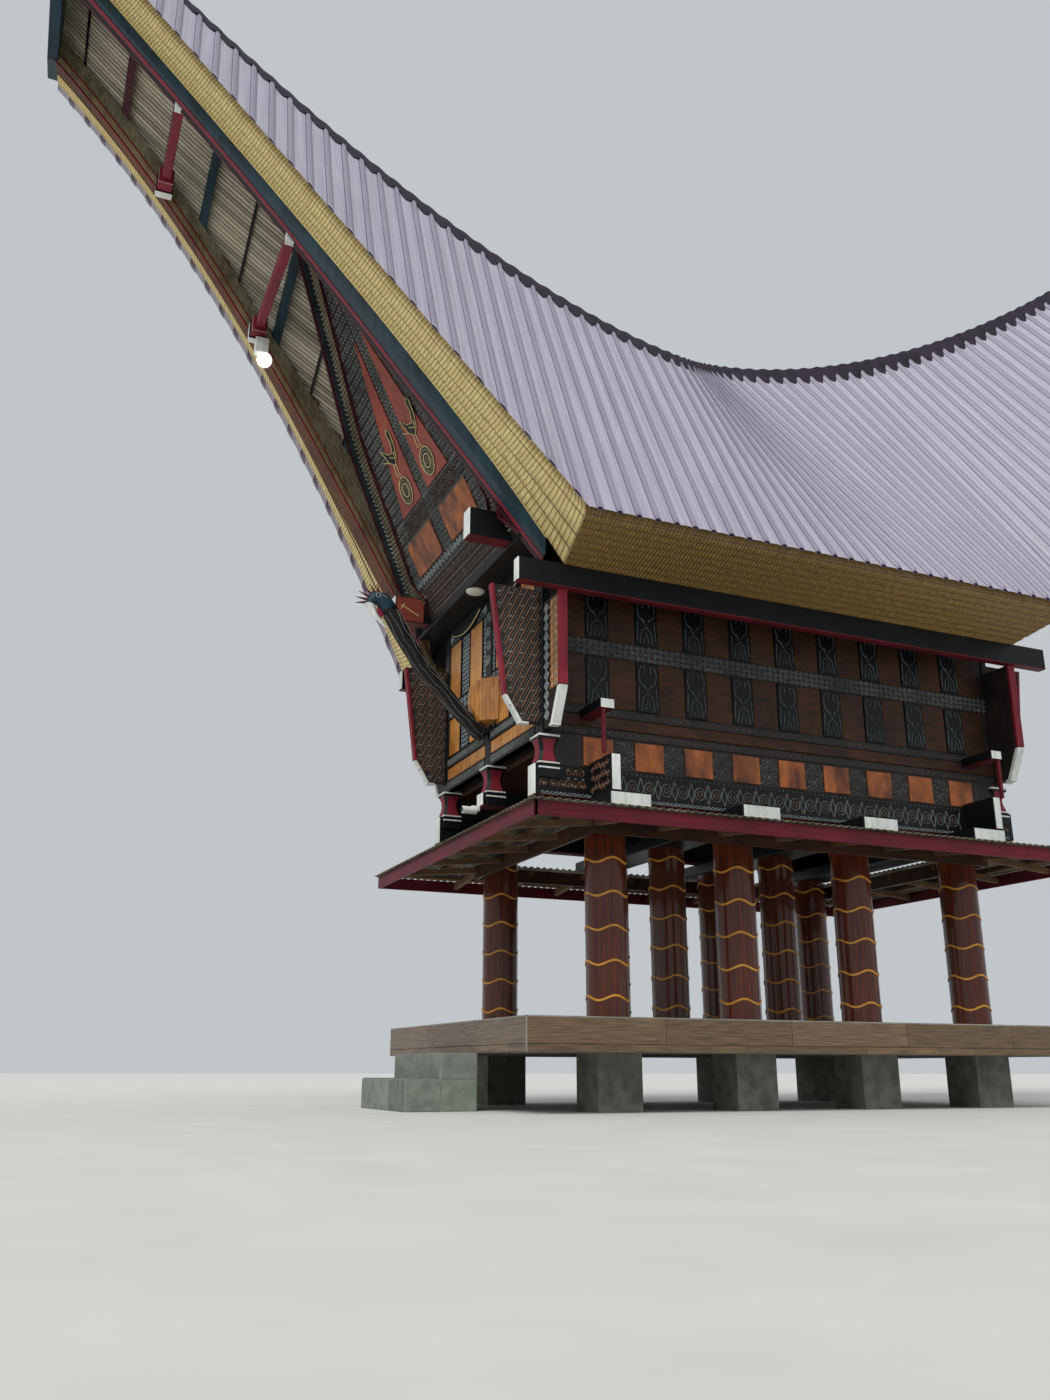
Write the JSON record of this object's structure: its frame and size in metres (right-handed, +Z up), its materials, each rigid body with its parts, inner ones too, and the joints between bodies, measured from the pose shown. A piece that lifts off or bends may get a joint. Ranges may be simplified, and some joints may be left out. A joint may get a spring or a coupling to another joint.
{
  "type": "tongkonan rice barn (alang)",
  "caption": "Torajan rice barn with a saddle-shaped tongkonan roof, carved store on round palm columns, pent roof and tiled platform with front steps.",
  "frame": {"origin": "on the ground under the middle of the barn", "axes": "+X to the right long side, -Y out of the front gable, +Z up"},
  "size_m": [5, 14.6806, 12.0476],
  "materials": {
    "wood_look_tile": "satin wood-look tiles",
    "stone_tile": "split-faced tiles with light grout",
    "varnished_palm": "glossy varnish over dark palm wood",
    "black_wood": "black paint, satin",
    "carved_wood": "carved and painted",
    "orange_wood": "varnished bare wood",
    "red_wood": "dark red paint, satin",
    "teal_wood": "dark blue-green paint, satin",
    "roof_sheet": "faded mauve ribbed steel sheet",
    "ridge_metal": "dark maroon steel",
    "bamboo": "layered split bamboo"
  },
  "bodies": {
    "root": {"platform": "wood_look_tile", "front_steps": "stone_tile", "column_left_1": "varnished_palm", "column_left_2": "varnished_palm", "column_left_3": "varnished_palm", "column_left_4": "varnished_palm", "column_right_1": "varnished_palm", "column_right_2": "varnished_palm", "column_right_3": "varnished_palm", "column_right_4": "varnished_palm", "column_middle_1": "varnished_palm", "column_middle_2": "varnished_palm", "cross_plank_1": "black_wood", "cross_plank_2": "black_wood", "cross_plank_3": "black_wood", "cross_plank_4": "black_wood", "base_beam_left": "black_wood", "base_beam_right": "black_wood", "base_beam_middle": "black_wood", "upper_beam_left": "black_wood", "upper_beam_right": "black_wood", "eave_plate_left": "black_wood", "eave_plate_right": "black_wood", "katik": "black_wood", "store_floor": "carved_wood", "tall_cross_beam_front": "carved_wood", "tall_cross_beam_back": "carved_wood", "gable_wall_front": "carved_wood", "gable_wall_back": "carved_wood", "gable_panel_front": "carved_wood", "gable_panel_back": "carved_wood", "side_wall_left": "carved_wood", "side_wall_right": "carved_wood", "fin_front_left": "carved_wood", "fin_front_right": "carved_wood", "fin_back_left": "carved_wood", "fin_back_right": "carved_wood", "pent_roof_front": "red_wood", "pent_roof_back": "red_wood", "pent_roof_left": "red_wood", "pent_roof_right": "red_wood", "rake_tie_low_front": "red_wood", "rake_tie_low_back": "red_wood", "rake_tie_high_front": "red_wood", "rake_tie_high_back": "red_wood", "prow_board_front": "teal_wood", "prow_board_back": "teal_wood", "bargeboard_front_left": "teal_wood", "bargeboard_front_right": "teal_wood", "bargeboard_back_left": "teal_wood", "bargeboard_back_right": "teal_wood", "roof_slope_left": "roof_sheet", "roof_slope_right": "roof_sheet", "bamboo_edge_left": "bamboo", "bamboo_edge_right": "bamboo", "ridge_cap_front": "ridge_metal", "ridge_cap_middle": "ridge_metal", "ridge_cap_back": "ridge_metal", "kabongo": "orange_wood"}
  },
  "joints": []
}
